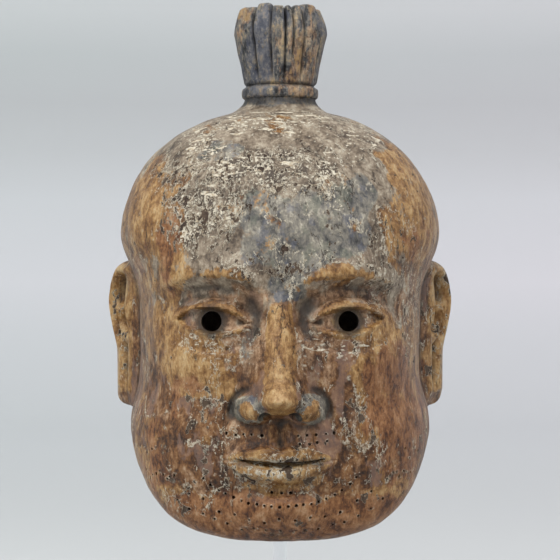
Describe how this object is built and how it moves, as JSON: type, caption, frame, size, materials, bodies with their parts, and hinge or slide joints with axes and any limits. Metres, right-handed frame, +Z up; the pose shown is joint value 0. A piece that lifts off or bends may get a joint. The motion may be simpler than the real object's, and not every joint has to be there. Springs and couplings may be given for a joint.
{
  "type": "gigaku mask",
  "caption": "Hollow carved wooden dance mask of a bald head with large ears and a bound topknot, held upright on a clear rod and round foot.",
  "frame": {"origin": "centre of the foot's flat underside, on the rod's axis", "axes": "+Z up along the rod, -Y is the way the face looks, +X is towards the ear on the right of the front view"},
  "size_m": [0.2332, 0.2572, 0.4245],
  "materials": {
    "wood": "worn paint over a white ground, bare wood on the edges, soft sheen",
    "clear_acrylic": "polished and clear"
  },
  "bodies": {
    "root": {"mask": "wood", "stand_rod": "clear_acrylic", "stand_foot": "clear_acrylic"}
  },
  "joints": []
}
